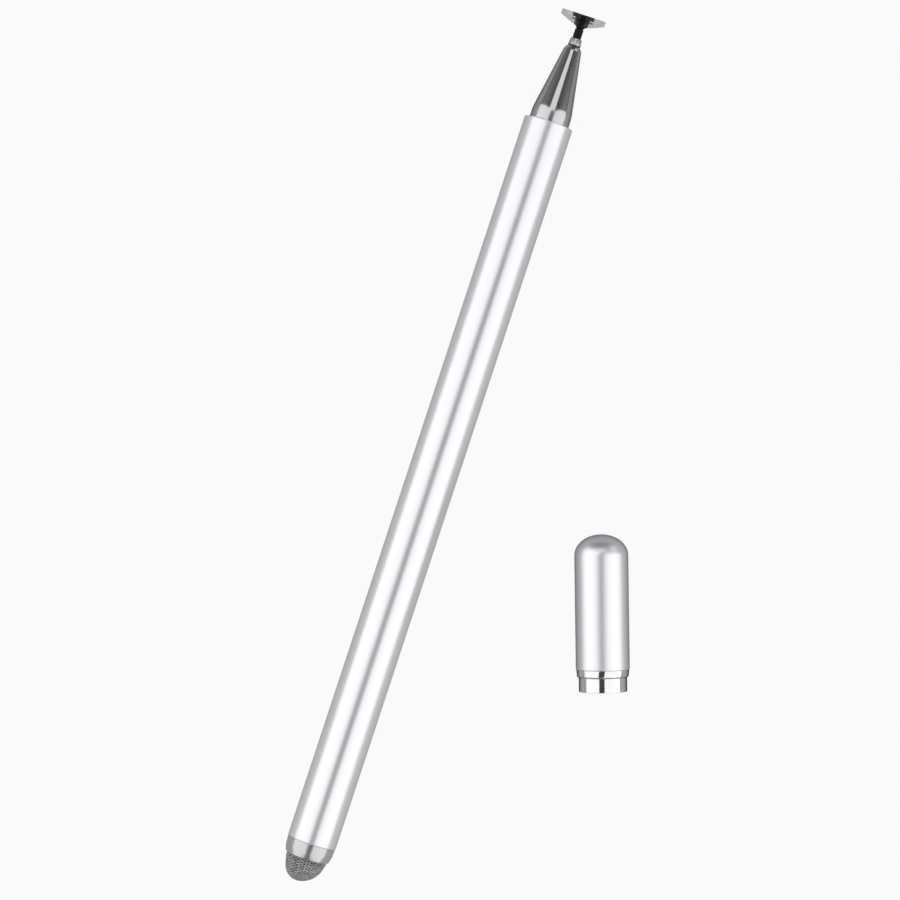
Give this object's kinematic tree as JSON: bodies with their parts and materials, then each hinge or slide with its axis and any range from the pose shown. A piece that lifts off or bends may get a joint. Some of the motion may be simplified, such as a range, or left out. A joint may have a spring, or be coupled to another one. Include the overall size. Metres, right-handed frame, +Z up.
{
  "type": "stylus pen",
  "caption": "Slim silver stylus pen with a clear disc nib that swivels on a ball, a conductive fibre tip at the rear, and a domed cap with a plated collar lying beside it.",
  "frame": {"origin": "on the pen's axis at the middle of the barrel", "axes": "+Y along the pen towards the disc nib, +Z up from the table that the pen and cap lie on, +X towards the loose cap"},
  "size_m": [0.0444, 0.1463, 0.0086],
  "materials": {
    "anodised_barrel": "fine satin, silver anodised",
    "anodised_cap": "smooth gloss, silver anodised",
    "polished_cone": "polished, slightly dark",
    "plated_steel": "mirror plated",
    "nib_steel": "fine turned",
    "black_steel": "black oxide",
    "black_plastic": "moulded, conductive",
    "clear_plastic": "clear, polished",
    "ferrule_metal": "satin turned",
    "fibre_fabric": "knitted conductive fibre",
    "soft_core": "matte silicone",
    "brass": "turned",
    "magnet": "nickel plated"
  },
  "bodies": {
    "barrel": {"barrel_tube": "anodised_barrel", "front_bush": "brass", "front_magnet": "magnet", "rear_bush": "brass", "nose_cone": "polished_cone"},
    "nib": {"nib_sleeve": "nib_steel"},
    "nib_pin": {"ball_pin": "black_steel"},
    "disc": {"disc_hub": "black_plastic", "disc_plate": "clear_plastic"},
    "fibre_tip": {"rear_ferrule": "ferrule_metal", "tip_stud": "brass", "hem_ring": "nib_steel", "tip_core": "soft_core", "fibre_mesh": "fibre_fabric"},
    "cap": {"cap_shell": "anodised_cap", "cap_collar": "plated_steel"}
  },
  "joints": [
    {"name": "nib_pull", "type": "slide", "parent": "barrel", "child": "nib", "axis": [0, 1, 0], "range_m": [0, 0.0095]},
    {"name": "disc_spin", "type": "hinge", "parent": "nib", "child": "nib_pin", "pos_m": [0, 0.07713, 0], "axis": [0, 1, 0], "continuous": true},
    {"name": "disc_tilt", "type": "hinge", "parent": "nib_pin", "child": "disc", "pos_m": [0, 0.07713, 0], "axis": [1, 0, 0], "range_deg": [-38.5, 21.5]},
    {"name": "tip_unscrew", "type": "slide", "parent": "barrel", "child": "fibre_tip", "axis": [0, -1, 0], "range_m": [0, 0.007]},
    {"name": "cap_slide", "type": "slide", "parent": "barrel", "child": "cap", "axis": [-0.3256, 0.9455, 0], "range_m": [0, 0.02]}
  ]
}
